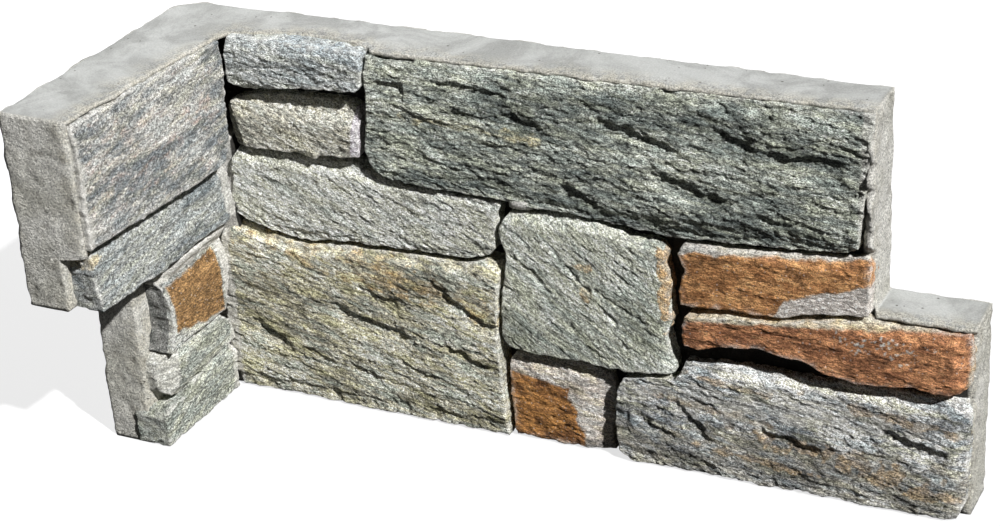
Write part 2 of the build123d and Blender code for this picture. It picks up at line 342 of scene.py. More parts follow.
def net_faces(rows, columns):
    """Quads of a net whose rows lie one after another."""
    index = np.arange(rows * columns).reshape(rows, columns)
    return np.stack([index[:-1, :-1], index[:-1, 1:], index[1:, 1:], index[1:, :-1]], axis=-1).reshape(-1, 4)


def read_from(count, at_start, at_end):
    """The net lines to read the face at: along a crisp side, the rim takes the height of a line further in."""
    lead = int(RIM_READ / SPACING)
    return np.clip(np.arange(count), lead * at_start, count - 1 - lead * at_end)


def stone_skin(node, split, seed):
    """Face: net + the solid's height, read at places that stray a little, so that its ledges turn ragged, + relief
    - rounded rim. Sides: the rim carried straight back, roughened outwards. Returns leg points, quads, the
    back's rim, and per-point measures for the finish."""
    leg = LEGS[node.split("_")[0]]
    triangles = triangles_of(node, leg)
    outline, back = outline_of(triangles)
    net, inset = coons_net(outline, SPACING)
    flat = np.concatenate([net, np.zeros(net.shape[:2] + (1,))], axis=-1)

    sway = np.stack([rough(flat / 9, seed + k, octaves=4, gain=0.55) for k in (1, 2)], axis=-1)
    stray = [rough(flat / np.array([12, 6, 9]), seed + k, octaves=4, gain=0.68) for k in (50, 51)]
    ragged = 2.2 * np.stack(stray, axis=-1) * np.clip(inset / 5, 0, 1)[..., None]
    face = soften(solid_face(triangles, net + ragged), 1)
    face = 0.72 * face + 0.28 * soften(face, 40)
    rows, columns = inset.shape
    face = face[read_from(rows, "b" in split.crisp, "t" in split.crisp)]
    face = face[:, read_from(columns, "l" in split.crisp, "r" in split.crisp)]
    from_top = np.arange(rows)[::-1, None] * SPACING
    face = face - split.top_back * (1 - smooth_step(from_top + 2 * noise(flat / 25, seed + 11), 3.0, 4.5))
    net = net + 0.75 * sway
    share = np.linspace(0, 1, columns)
    net[..., 0] += split.reach[1] * smooth_step(share, 0.6, 1) - split.reach[0] * (1 - smooth_step(share, 0, 0.4))
    flat = np.concatenate([net, np.zeros(net.shape[:2] + (1,))], axis=-1)
    layers = layer_frame(flat, split.dip)

    relief = split.swell * noise(flat / np.array([55, 30, 50]), seed + 3)
    relief += split.ledge * ledges(layers, split.layer, seed + 4)
    relief += 0.6 * split.ledge * ledges(layers, split.layer * 0.4, seed + 40)
    relief += 1.2 * split.ledge * ledges(layers, split.layer * 1.7, seed + 45, sparse=0.25)
    relief += 0.75 * split.tear * tears(layers, 8, seed + 5)
    relief += 0.5 * split.tear * tears(layers, 3, seed + 6)
    if split.dents is not None:
        relief -= split.dents(flat)

    chip = smooth_step(noise(flat / 8, seed + 7), 0.25, 0.75)
    arris = split.arris * (1 + 0.4 * noise(flat / 3, seed + 9)) + 1.3 * chip
    drop = np.clip(1 - inset / arris, 0, 1)
    rounded = np.minimum(arris, 1.2) * (1 - np.sqrt(1 - drop**2 + 1e-9))
    out = face + relief - rounded

    rim = rim_of(rows, columns)
    face_points = np.concatenate([net, out[..., None]], axis=-1).reshape(-1, 3)
    edge = face_points[rim]
    tangent = np.roll(edge, -1, axis=0)[:, :2] - np.roll(edge, 1, axis=0)[:, :2]
    outward = np.stack([tangent[:, 1], -tangent[:, 0]], -1)
    outward /= np.linalg.norm(outward, axis=1, keepdims=True) + 1e-9
    bands = int(np.ceil((edge[:, 2].max() - back) / SIDE_SPACING))
    depth = np.linspace(0, 1, bands + 1)[1:, None]
    side_out = edge[None, :, 2] + (back - edge[None, :, 2]) * depth
    side = np.concatenate([np.broadcast_to(edge[None, :, :2], side_out.shape + (2,)), side_out[..., None]], -1)
    bulge = 0.6 * rough(side / np.array([7, 4, 5]), seed + 8, octaves=4) - 0.2
    side[..., :2] += outward[None] * (bulge * np.minimum(1, 4 * depth))[..., None]

    count = len(face_points)
    ring = len(rim)
    first = np.concatenate([rim[None], count + np.arange(bands * ring).reshape(bands, ring)])
    here, there = first, np.roll(first, -1, axis=1)
    walls = np.stack([here[:-1], here[1:], there[1:], there[:-1]], axis=-1).reshape(-1, 4)
    points = np.concatenate([face_points, side.reshape(-1, 3)])
    quads = np.concatenate([net_faces(rows, columns), walls])

    fine = relief - soften(relief, 8)
    measures = {
        "ridge": np.concatenate([fine.ravel(), (0.6 * bulge).ravel()]),
        "inset": np.concatenate([inset.ravel(), np.zeros(bands * ring)]),
        "side": np.concatenate([np.zeros(count), np.ones(bands * ring)]),
        "layers": layer_frame(points, split.dip),
    }
    return leg, points, quads, first[-1][::-1], measures


def add_mesh(name, room_points, quads, extra_faces=()):
    """Puts arrays of millimetre points and faces into a smooth-shaded mesh object at the origin."""
    mesh = bpy.data.meshes.new(name)
    mesh.from_pydata(room_points * MM, [], quads.tolist() + [list(face) for face in extra_faces])
    mesh.polygons.foreach_set("use_smooth", np.ones(len(mesh.polygons), dtype=bool))
    mesh.update()
    piece = bpy.data.objects.new(name, mesh)
    bpy.context.scene.collection.objects.link(piece)
    return piece


def add_marks(piece, marks):
    """Stores named per-point values, or vectors, that the finishes read."""
    for name, values in marks.items():
        vector = values.ndim == 2
        layer = piece.data.attributes.new(name, "FLOAT_VECTOR" if vector else "FLOAT", "POINT")
        layer.data.foreach_set("vector" if vector else "value", np.ascontiguousarray(values, dtype=np.float32).ravel())


# %% [markdown]
# ## Where the stains, bruises and smears are
# Rust follows old cracks, so it covers whole facets and stops at a line. Bruises are where tools and handling
# hit the arris. A cement smear is left at edges that touched the wet backing. Each is a soft-edged region on
# the leg, made ragged with noise, and stored on the points, so the finish can use it from any side.

# %% Regions on a leg


def patch(points, centre, size, seed, ragged=0.35, turn=0.0):
    """1 inside an ellipse, 0 outside it, with a border that noise pushes in and out."""
    angle = np.radians(turn)
    offset = points[:, :2] - np.array(centre)
    across = np.stack([offset @ [np.cos(angle), np.sin(angle)], offset @ [-np.sin(angle), np.cos(angle)]], -1)
    reach = np.linalg.norm(across / np.array(size), axis=1)
    reach += ragged * rough(points / 9, seed, octaves=4)
    return 1 - smooth_step(reach, 0.9, 1.1)


def below(points, start, end, seed, ragged=2.0):
    """1 under the line from start to end, 0 above it, with a ragged border."""
    share = (points[:, 0] - start[0]) / (end[0] - start[0])
    line = start[1] + share * (end[1] - start[1]) + ragged * rough(points / 8, seed, octaves=4)
    return 1 - smooth_step(points[:, 1], line - 0.8, line + 0.8)


def right_of(points, foot, head, seed, ragged=2.0):
    """1 to the right of the line from foot to head, 0 to its left, with a ragged border."""
    share = (points[:, 1] - foot[1]) / (head[1] - foot[1])
    line = foot[0] + share * (head[0] - foot[0]) + ragged * rough(points / 8, seed, octaves=4)
    return smooth_step(points[:, 0], line - 0.8, line + 0.8)


# %% [markdown]
# ## One finish for every stone
# All fifteen come from the same few beds, so one finish serves them all: a dark, a middle and a light colour
# mixed in streaks along the layers, with pale and black grains through it. Stains and bruises come from the
# marks on the points, and so do a painted highlight on the ridges of the relief and painted shade in its
# hollows. Only the colours and the strengths change from stone to stone.

# %% Node helpers


def colour(red, green, blue):
    """A colour as seen on screen, 0 to 255, as the linear value a shader wants."""
    share = np.array([red, green, blue]) / 255
    linear = np.where(share <= 0.04045, share / 12.92, ((share + 0.055) / 1.055) ** 2.4)
    return tuple(linear) + (1.0,)


class Finish:
    """A material being put together: each method adds a node and gives back its output socket."""

    def __init__(self, name):
        self.material = bpy.data.materials.new(name)
        self.material.use_nodes = True
        self.tree = self.material.node_tree
        self.shader = self.tree.nodes["Principled BSDF"]

    def add(self, kind, inputs=(), **settings):
        made = self.tree.nodes.new(kind)
        for key, value in settings.items():
            setattr(made, key, value)
        for socket, value in dict(inputs).items():
            self.feed(made.inputs[socket], value)
        return made

    def feed(self, socket, value):
        if isinstance(value, bpy.types.NodeSocket):
            self.tree.links.new(value, socket)
        else:
            socket.default_value = value

    def mark(self, name, vector=False):
        made = self.add("ShaderNodeAttribute", attribute_name=name)
        return made.outputs["Vector" if vector else "Fac"]

    def stretch(self, vector, scale):
        return self.add("ShaderNodeVectorMath", {0: vector, 1: scale}, operation="MULTIPLY").outputs[0]

    def noise(self, vector, scale, detail=3.0, rough=0.55, twist=0.0):
        place = self.stretch(vector, scale)
        values = {"Vector": place, "Scale": 1.0, "Detail": detail, "Roughness": rough, "Distortion": twist}
        return self.add("ShaderNodeTexNoise", values).outputs["Fac"]

    def span(self, value, start, end, low=0.0, high=1.0):
        values = {"Value": value, "From Min": start, "From Max": end, "To Min": low, "To Max": high}
        return self.add("ShaderNodeMapRange", values, interpolation_type="SMOOTHSTEP").outputs["Result"]

    def math(self, operation, first, second=0.0):
        return self.add("ShaderNodeMath", {0: first, 1: second}, operation=operation).outputs[0]

    def mix(self, share, first, second, blend="MIX"):
        made = self.add("ShaderNodeMix", data_type="RGBA", blend_type=blend, clamp_result=True)
        self.feed(made.inputs[0], share)
        self.feed(made.inputs[6], first)
        self.feed(made.inputs[7], second)
        return made.outputs[2]

    def bump(self, height, depth, strength=1.0):
        made = self.add("ShaderNodeBump", {"Height": height, "Distance": depth * MM, "Strength": strength})
        self.feed(self.shader.inputs["Normal"], made.outputs["Normal"])


# %% Stone finish


@dataclass
class Tint:
    """The colours of one stone, as seen on screen, and how strong its bands, its warm and
    cool parts, its grains, and its bruises together with the painted highlight on its ridges are;
    short makes its grains less drawn out."""

    light: tuple = (222, 222, 216)
    dark: tuple = (150, 153, 152)
    rust: tuple = (205, 146, 92)
    rust_dark: tuple = (140, 88, 50)
    second: tuple = (206, 182, 134)
    band: float = 1.0
    hue: float = 1.0
    grain: float = 1.0
    short: float = 1.0
    bruise: float = 1.0


# Bruise colour: pale bruised arrises, and also the painted highlight on the ridges of the relief.
BRUISE_AND_RIDGE_HIGHLIGHT = (240, 238, 232)
# Fleck colour: a painted glint of mica.
PAINTED_MICA_GLINT = (246, 246, 242)
CEMENT_SMEAR = (204, 201, 193)
# SHADE: painted shade for the hollows of the relief.
SHADE = (46, 44, 40)
RUST_PALE = (226, 184, 132)


def stone_finish(name, tint):
    """Slow bands choose between the dark and the light colour, and others make it warmer or cooler. Stains and
    smears are laid over them by their marks. Then two sizes of crystal multiply the colour up and down, like salt
    and pepper; bruised arrises are paler and the ridges of the relief get a painted highlight; a few pale flecks
    are a painted glint of mica; and the hollows of the relief are darkened a little, as painted shade."""
    finish = Finish(name)
    layers = finish.mark("layers", vector=True)
    cloud = finish.noise(layers, (0.018, 0.055, 0.03), detail=4.0, rough=0.6, twist=0.6)
    streak = finish.noise(layers, (0.09, 0.24, 0.16), detail=4.0, rough=0.65, twist=0.3)
    speck = finish.noise(layers, (0.36 * tint.short, 1.0, 0.7), detail=3.0, rough=0.7)
    crystal = finish.noise(layers, (1.15 * tint.short, 2.3, 1.7), detail=2.0, rough=0.75)
    warmth = finish.noise(layers, (0.05, 0.2, 0.1), detail=5.0, rough=0.7, twist=0.4)
    # A few sparse pale flecks, painted as glints of mica.
    cells = finish.add("ShaderNodeTexVoronoi", {"Vector": layers, "Scale": 0.6, "Randomness": 1.0})
    chance = finish.add("ShaderNodeSeparateColor", {"Color": cells.outputs["Color"]}).outputs["Red"]
    mica_glint = finish.math("MULTIPLY", finish.span(cells.outputs["Distance"], 0.34, 0.2), finish.span(chance, 0.7, 0.95))

    tone = finish.math("ADD", finish.math("MULTIPLY", cloud, 0.6), finish.math("MULTIPLY", streak, 0.4))
    half = 0.16 / max(tint.band, 0.05)
    base = finish.mix(finish.span(tone, 0.5 - half, 0.5 + half), colour(*tint.dark), colour(*tint.light))

    cool = tuple(np.array([1, 1, 1]) + tint.hue * np.array([-0.06, -0.01, 0.06])) + (1.0,)
    warm = tuple(np.array([1, 1, 1]) + tint.hue * np.array([0.06, 0.0, -0.1])) + (1.0,)
    base = finish.mix(1.0, base, finish.mix(finish.span(warmth, 0.36, 0.64), cool, warm), "MULTIPLY")

    second = finish.math("ADD", finish.mark("second"), finish.math("SUBTRACT", streak, 0.5))
    base = finish.mix(finish.span(second, 0.25, 0.8), base, colour(*tint.second))
    rusty = finish.mix(finish.span(streak, 0.36, 0.62), colour(*tint.rust_dark), colour(*tint.rust))
    mottle = finish.noise(layers, (0.13, 0.2, 0.17), detail=5.0, rough=0.68, twist=0.4)
    deep = tuple(0.62 * np.array(tint.rust_dark))
    rusty = finish.mix(finish.span(mottle, 0.5, 0.66, 0.0, 0.75), rusty, colour(*deep))
    rusty = finish.mix(finish.span(mottle, 0.44, 0.3, 0.0, 0.4), rusty, colour(*RUST_PALE))
    base = finish.mix(finish.mark("rust"), base, rusty)
    base = finish.mix(finish.mark("smear"), base, colour(*CEMENT_SMEAR))

    smeared = finish.math("MULTIPLY", finish.mark("smear"), 3.0)
    calm = finish.math("MAXIMUM", finish.mark("rust"), smeared)
    pepper = finish.span(speck, 0.34, 0.66, 1 - 0.6 * tint.grain, 1 + 0.5 * tint.grain)
    salt = finish.span(crystal, 0.4, 0.6, 1 - 0.66 * tint.grain, 1 + 0.62 * tint.grain)
    grains = finish.math("MULTIPLY", pepper, salt)
    base = finish.mix(finish.span(calm, 0.0, 3.0, 1.0, 0.5), base, finish.mix(1.0, base, grains, "MULTIPLY"))

    # Paler bruised arrises are wear; the share of this mark on the relief's ridges is a painted highlight.
    broken = finish.span(crystal, 0.32, 0.6)
    bruise = finish.math("MULTIPLY", finish.math("MULTIPLY", finish.mark("bruise"), broken), tint.bruise)
    base = finish.mix(bruise, base, colour(*BRUISE_AND_RIDGE_HIGHLIGHT))
    plain = finish.span(finish.mark("rust"), 0.0, 1.0, 0.55 * tint.grain, 0.35 * tint.grain)
    # Painted glint: the pale mica flecks, fewer on rust.
    base = finish.mix(finish.math("MULTIPLY", mica_glint, plain), base, colour(*PAINTED_MICA_GLINT))
    # Painted shade: the hollows of the relief are darkened.
    base = finish.mix(finish.math("MULTIPLY", finish.mark("hollow"), 0.5), base, colour(*SHADE))

    finish.feed(finish.shader.inputs["Base Color"], base)
    finish.shader.inputs["Roughness"].default_value = 0.85
    finish.shader.inputs["Specular IOR Level"].default_value = 0.3
    grit = finish.math("ADD", finish.math("MULTIPLY", speck, 0.6), finish.math("MULTIPLY", crystal, 0.4))
    finish.bump(grit, 1.25)
    return finish.material


# %% [markdown]
# ## The fifteen stones
# Each line says what sets one stone apart: how its layers dip, how coarse its ledges are, its colours, and
# where the stains are. The regions are in leg millimetres, measured from the inside corner, so a patch can
# be checked with a ruler against the real wall.

# %% Stone by stone
GREEN_GREY = {"light": (202, 206, 194), "dark": (106, 112, 108)}
WARM_GREY = {"light": (232, 228, 212), "dark": (176, 172, 160)}
OCHRE_GREY = {"light": (232, 226, 206), "dark": (142, 139, 126)}
PALE_PINK = {"light": (226, 217, 208), "dark": (180, 169, 160)}
BEIGE = {"light": (214, 199, 174), "dark": (164, 144, 118)}


def rust_wedge(points):
    """The lower right of the upper rust stone, where the rusty skin came away."""
    return below(points, (300, 101), (345, 116), 72, 2.4) * right_of(points, (296, 92), (303, 103), 73, 2.0)


def ochre_streaks(points):
    """Iron in a few layers of the right base slab: thin ragged streaks."""
    streaks = (((270, 52), (24, 1.6)), ((256, 38), (32, 2.2)), ((350, 49), (26, 2.4)), ((330, 23), (34, 4.5)),
               ((366, 13), (18, 3.0)), ((290, 14), (24, 2.0)))
    found = [patch(points, centre, size, 103 + k, ragged=1.1, turn=-5) for k, (centre, size) in enumerate(streaks)]
    return 0.42 * np.max(found, axis=0)


@dataclass
class Look:
    """One stone's way of breaking, its colours, and its regions of rust, second colour and cement smear."""

    split: Split
    tint: Tint
    rust: object = None
    second: object = None
    smear: object = None


def slot(flat, start, end, height, seed):
    """A gap that stayed open under the cement film: the stone is set back above a height, along part of its top."""
    along, up = flat[..., 0], flat[..., 1]
    gap = smooth_step(along, start, start + 3) * (1 - smooth_step(along, end - 3, end))
    return 3.5 * gap * smooth_step(up + 0.9 * noise(flat / 6, seed), height, height + 0.7)


def top_slab_dents(flat):
    """A corner that came away, as a shallow step down that is sharp on its right and upper sides, and a gap."""
    along, up = flat[..., 0], flat[..., 1]
    inside = (1 - smooth_step(along, 111.5, 112.3)) * (1 - smooth_step(up, 186.0, 186.6))
    corner = 1.6 * inside * smooth_step(up, 172, 184) * smooth_step(along, 92, 104)
    return corner + slot(flat, 94, 119, 196.4, 641)


def slanting_cracks(flat):
    """Three cracks across the centre stone: narrow grooves along lines that fall to the right."""
    depth = np.zeros(flat.shape[:-1])
    for start, end, deep in (((164, 104), (186, 84), 1.2), ((184, 112), (226, 66), 1.0), ((205, 92), (240, 74), 0.8)):
        start, end = np.array(start), np.array(end)
        offset = flat[..., :2] - start
        span = end - start
        share = np.clip(offset @ span / (span @ span), 0, 1)
        away = np.linalg.norm(offset - share[..., None] * span, axis=-1)
        away = away + 2.0 * rough(flat / 9, 640, octaves=4)
        depth += deep * np.exp(-((away / 0.8) ** 2)) * np.sin(np.pi * np.clip(share, 0.02, 0.98)) ** 0.5
    return depth


def set_back_top(flat):
    """The second stone of the short leg leans: set back along its top, standing out along its foot."""
    return 2.6 * smooth_step(flat[..., 1], 122, 131) - 2.4 * (1 - smooth_step(flat[..., 1], 103, 118))


def filled_top(flat):
    """The rust stone of the short leg falls back at its top, and mortar fills that dip up to the stone above."""
    return -9.0 * smooth_step(flat[..., 1], 86, 97) * smooth_step(flat[..., 0], -56, -42)


LOOKS = {
    "long_top_left_stone": Look(
        Split(dip=9, layer=5, ledge=0.45, tear=0.7, swell=0.6, crisp="lr"),
        Tint(light=(218, 221, 218), dark=(142, 147, 148), second=(150, 162, 170)),
        second=lambda p: 0.5 * (1 - below(p, (40, 199), (88, 191.5), 11, 1.5)),
    ),
    "long_second_left_stone": Look(
        Split(dip=16, layer=8, ledge=0.4, tear=0.6, swell=0.6, crisp="b", reach=(0, 2.2)),
        Tint(**WARM_GREY, second=(212, 204, 210)),
        second=lambda p: 0.85 * right_of(p, (80.5, 140), (82, 166), 21, 0.8),
    ),
    "long_top_slab": Look(
        Split(dip=7, layer=5, ledge=0.6, tear=0.66, swell=0.8, reach=(0.8, 0), dents=top_slab_dents),
        Tint(**GREEN_GREY, second=(176, 160, 112), band=1.2, bruise=0.6),
        second=lambda p: 0.4 * patch(p, (135, 168), (45, 3), 41, ragged=0.8, turn=-3),
        smear=lambda p: 0.55 * right_of(p, (335.5, 120), (337, 200), 42, 0.8),
    ),
    "long_middle_left_stone": Look(
        Split(dip=22, layer=5, ledge=0.35, tear=0.55, swell=0.7, top_back=0.8),
        Tint(light=(240, 240, 228), dark=(182, 183, 173), band=0.9, bruise=0.7),
    ),
    "long_base_left_slab": Look(
        Split(dip=15, layer=6, ledge=0.45, tear=0.5, swell=0.8, top_back=3.0),
        Tint(**OCHRE_GREY, second=(196, 158, 96), band=1.3, hue=2.3),
        second=lambda p: 0.42 * patch(p, (80, 84), (78, 8), 51, ragged=0.9, turn=-9),
        smear=lambda p: 0.8 * (1 - right_of(p, (3.0, 0), (4.5, 110), 52, 2.0)),
    ),
    "long_centre_stone": Look(
        Split(dip=35, layer=6, ledge=0.3, tear=0.45, swell=0.8, crisp="bl", top_back=1.5, dents=slanting_cracks),
        Tint(light=(220, 222, 209), dark=(150, 154, 144), second=(186, 152, 108), band=1.2, bruise=0.7),
        second=lambda p: 0.6 * patch(p, (243, 104), (3.5, 24), 61, ragged=0.9)
        + 0.55 * patch(p, (200, 103), (5, 3), 62, ragged=0.8)
        + 0.5 * patch(p, (203, 88), (3, 4), 63, ragged=0.8),
    ),
    "long_upper_rust_stone": Look(
        Split(dip=2, layer=9, ledge=0.25, tear=0.35, swell=0.6),
        Tint(light=(214, 208, 200), dark=(166, 160, 152), second=(216, 207, 199), rust=(220, 164, 110),
             rust_dark=(164, 114, 72), hue=1.0, grain=0.75),
        rust=lambda p: below(p, (250, 117.5), (345, 126.5), 71, 1.6) * (1 - rust_wedge(p)),
        second=lambda p: 0.75 * rust_wedge(p),
    ),
    "long_rust_ledge_stone": Look(
        Split(dip=3, layer=9, ledge=0.3, tear=0.42, swell=0.7, crisp="bl",
              dents=lambda flat: slot(flat, 344, 386, 96.6, 642)),
        Tint(**BEIGE, rust=(208, 148, 104), rust_dark=(148, 100, 70), hue=1.5, grain=0.75),
        rust=lambda p: below(p, (253, 83.5), (385, 97.5), 81, 1.0)
        * (1 - 0.85 * right_of(p, (387, 60), (388.5, 100), 82, 0.8)),
        smear=lambda p: 0.9 * patch(p, (350, 87), (16, 6), 83, ragged=1.2) * smooth_step(noise(p / 1.7, 84), 0.3, 0.5),
    ),
    "long_base_rust_stone": Look(
        Split(dip=12, layer=8, ledge=0.4, tear=0.55, swell=0.6, crisp="bl"),
        Tint(**PALE_PINK, rust=(190, 136, 78), rust_dark=(128, 88, 54), second=(112, 108, 104), hue=1.5, grain=0.8),
        rust=lambda p: below(p, (158, 38.5), (194, 32.5), 91, 1.6) * (1 - right_of(p, (198, 4), (188, 38), 92, 3.0)),
        second=lambda p: 0.7 * patch(p, (199, 3.5), (9, 2.6), 93, ragged=0.7),
    ),
    "long_base_right_slab": Look(
        Split(dip=9, layer=5, ledge=0.5, tear=0.55, swell=0.8, crisp="bl", top_back=1.5),
        Tint(light=(234, 232, 228), dark=(132, 134, 136), second=(128, 122, 108), rust=(206, 170, 118),
             rust_dark=(136, 112, 82), band=1.5, hue=2.0),
        rust=ochre_streaks,
        second=lambda p: 0.5 * below(p, (225, 24), (392, 30), 101, 6.0),
        smear=lambda p: 0.5 * patch(p, (298, 43), (62, 7), 102, ragged=1.2, turn=2),
    ),
    "short_top_slab": Look(
        Split(dip=-8, layer=10, ledge=0.35, tear=0.7, swell=0.9, crisp="tblr",
              dents=lambda flat: slot(flat, -118, -74, 196.4, 643)),
        Tint(light=(202, 199, 193), dark=(124, 128, 130), band=1.6, second=(198, 156, 140), grain=1.0, short=1.9),
        second=lambda p: 0.3 * patch(p, (-70, 168), (46, 24), 111, ragged=1.4),
        smear=lambda p: 0.75 * (1 - right_of(p, (-109, 130), (-112, 200), 112, 2.5)),
    ),
    "short_second_stone": Look(
        Split(dip=-6, layer=6, ledge=0.4, tear=0.7, swell=0.6, dents=set_back_top),
        Tint(light=(172, 174, 171), dark=(108, 113, 115), band=1.4, second=(200, 182, 142), short=1.4),
        second=lambda p: 0.5 * patch(p, (-108, 126), (6, 4), 121, ragged=0.8),
        smear=lambda p: 0.7 * right_of(p, (-5.0, 100), (-3.0, 140), 122, 2.0),
    ),
    "short_rust_stone": Look(
        Split(dip=3, layer=5, ledge=0.3, tear=0.35, swell=0.5, dents=filled_top),
        Tint(light=(206, 206, 198), dark=(140, 141, 138), rust=(158, 124, 82), rust_dark=(134, 102, 66),
             second=(96, 97, 94)),
        rust=lambda p: below(p, (-58, 84), (-11, 87), 131, 1.2)
        * right_of(p, (-53.5, 50), (-53.5, 84), 133, 0.8)
        * (1 - right_of(p, (-11, 50), (-10, 92), 135, 0.8))
        * (1 - below(p, (-60, 61), (-8, 51), 136, 1.5))
        * (p[:, 2] > 5),
        # The left end face is painted a darker grey: painted shade on that end.
        second=lambda p: 0.8 * (1 - right_of(p, (-54, 50), (-53, 96), 134, 1.5)) * (p[:, 2] < 11),
        smear=lambda p: np.maximum(
            0.9 * (1 - below(p, (-60, 87), (0, 90), 132, 1.2)), 0.9 * right_of(p, (-9, 50), (-8, 92), 137, 1.0)
        ),
    ),
    "short_fourth_stone": Look(
        Split(dip=2, layer=6, ledge=0.3, tear=0.6, swell=0.8, crisp="r"),
        Tint(light=(186, 187, 177), dark=(136, 140, 132)),
        smear=lambda p: np.maximum(
            0.6 * (1 - right_of(p, (-58, 20), (-50, 56), 141, 4.0)), 0.6 * right_of(p, (-7, 20), (-5, 56), 142, 1.5)
        ),
    ),
    "short_base_stone": Look(
        Split(dip=-12, layer=3.5, ledge=0.6, tear=0.5, swell=0.7, reach=(2.6, 0)),
        Tint(light=(186, 188, 178), dark=(130, 134, 126)),
        smear=lambda p: 0.6 * right_of(p, (-7, 0), (-5, 36), 151, 1.5),
    ),
}


def make_stone(node, look, seed):
    """Skin, marks and finish of one stone, standing for its solid."""
    leg, points, quads, back_rim, measures = stone_skin(node, look.split, seed)
    piece = add_mesh(node + "_skin", leg.place(points), quads, [back_rim])
    nothing = np.zeros(len(points))
    ragged = rough(points / 6, seed + 30, octaves=3)
    near_edge = np.exp(-np.maximum(measures["inset"] - 0.4 - ragged, 0) / 0.9) * (1 - 0.5 * measures["side"])
    ridge = smooth_step(measures["ridge"], 0.3, 1.0) * (1 - measures["side"])
    marks = {
        "layers": measures["layers"],
        # Bruised arrises near the rim are wear; the 0.3 share on the ridges of the relief is a painted highlight.
        "bruise": np.clip(0.6 * near_edge * smooth_step(ragged, -0.5, 0.3) + 0.3 * ridge, 0, 1),
        # Painted shade: where the fine relief dips below its mean, the finish darkens it.
        "hollow": smooth_step(-measures["ridge"], 0.2, 0.9),
        "rust": nothing if look.rust is None else look.rust(points),
        "second": nothing if look.second is None else look.second(points),
        "smear": nothing if look.smear is None else look.smear(points),
    }
    add_marks(piece, marks)
    piece.data.materials.append(stone_finish(node + "_finish", look.tint))
    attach(piece, "root")
    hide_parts(node)
    return len(quads)


for order, (node, look) in enumerate(LOOKS.items()):
    print(node, "quads:", make_stone(node, look, 100 * (order + 1)))

# %% [markdown]
# ## The cement backing
# The backing was poured into a mould over the stones, so its outside is flat and smooth, with small air holes,
# and its edges are a little ragged. It is made as two sheets, front and back, on one grid of stations along
# the L and heights. Cells outside the stepped shape are left out, and wherever a sheet ends, a rim is carried
# across the thickness to the other sheet. That closes every end and both steps with no inner walls.

# %% Stations along the L
COURSE = 100.0
STEP = 48.0
GRID = 2.0
RIM_STEPS = 20
BACK_ROUND = 20.0
INNER_ROUND = 4.0

long_upper_end = high[0] - STEP
short_lower_end = low[1] + STEP


def even(start, end):
    """Evenly spaced values, about one grid step apart, without the last."""
    return np.linspace(start, end, max(2, int(round(abs(end - start) / GRID))), endpoint=False)


def quarter(centre, radius, start, count):
    """Points of a quarter circle that turns clockwise from the start angle, seen from above."""
    angle = np.radians(start - np.linspace(0, 90, count, endpoint=False))
    return np.array(centre) + radius * np.stack([np.cos(angle), np.sin(angle)], -1)


def straight(xs, ys):
    """Plan points from two values or arrays."""
    return np.stack(np.broadcast_arrays(np.asarray(xs, float), np.asarray(ys, float)), -1)


tongue = even(low[1], short_lower_end)
share_short = np.linspace(0, 1, 39, endpoint=False)
share_long = np.linspace(0, 1, 174, endpoint=False)
tail = np.append(even(long_upper_end, high[0]), high[0])
CORNER_COUNT = 14

front_turn = quarter((short_front + INNER_ROUND, long_front - INNER_ROUND), INNER_ROUND, 180, CORNER_COUNT)
back_turn = quarter((low[0] + BACK_ROUND, high[1] - BACK_ROUND), BACK_ROUND, 180, CORNER_COUNT)
front_plan = np.concatenate([
    straight(short_front, tongue),
    straight(short_front, short_lower_end + share_short * (front_turn[0, 1] - short_lower_end)),
    front_turn,
    straight(short_front + INNER_ROUND + share_long * (long_upper_end - short_front - INNER_ROUND), long_front),
    straight(tail, long_front),
])
back_plan = np.concatenate([
    straight(low[0], tongue),
    straight(low[0], short_lower_end + share_short * (back_turn[0, 1] - short_lower_end)),
    back_turn,
    straight(low[0] + BACK_ROUND + share_long * (long_upper_end - low[0] - BACK_ROUND), high[1]),
    straight(tail, high[1]),
])
stations = len(front_plan)
heights = np.concatenate([even(0, COURSE), even(COURSE, high[2]), [high[2]]])
print("stations:", stations, "heights:", len(heights))

# %% [markdown]
# ## Which cells the backing has, and how the front stands out
# The upper course starts at the short end and stops early at the long end; the lower course does the
# opposite. In the mould the cement also ran forward: as a thin film over the top slabs and the step, down one
# end, and as mortar that fills the inside corner. Each is a second plan line for the same stations, and the
# sheet goes over to it at the right heights. Pushing points out along normals would fold in the tight corner.

# %% Cells
first_lower = len(tongue)
last_upper = stations - len(tail)
middle_height = (heights[:-1] + heights[1:]) / 2
station = np.arange(stations)
upper = middle_height[None, :] > COURSE
cells = np.where(upper, station[:-1, None] < last_upper, station[:-1, None] >= first_lower)
zz = np.broadcast_to(heights[None, :], (stations, len(heights)))
print("cells kept:", int(cells.sum()), "of", cells.size)

# %% Films and mortar
FILM = 2.0
END_FILM_FOOT = 129.0
MORTAR_OUT = 12.0
END_FILL = 5.0

on_short = front_plan[:, 0] <= short_front + 1e-6
along = np.where(on_short, front_plan[:, 1] - corner_y, front_plan[:, 0] - corner_x)
zero = np.zeros(stations)


def plan_normals(plan):
    """Unit vectors across a plan line, on the room side."""
    tangent = np.gradient(plan, axis=0)
    normal = np.stack([tangent[:, 1], -tangent[:, 0]], -1)
    return normal / np.linalg.norm(normal, axis=1, keepdims=True)


def bridged(plan, between):
    """The plan with the given stations moved onto the straight line between their neighbours."""
    kept = np.flatnonzero(~between)
    return np.stack([np.interp(station, kept, plan[kept, k]) for k in (0, 1)], -1)


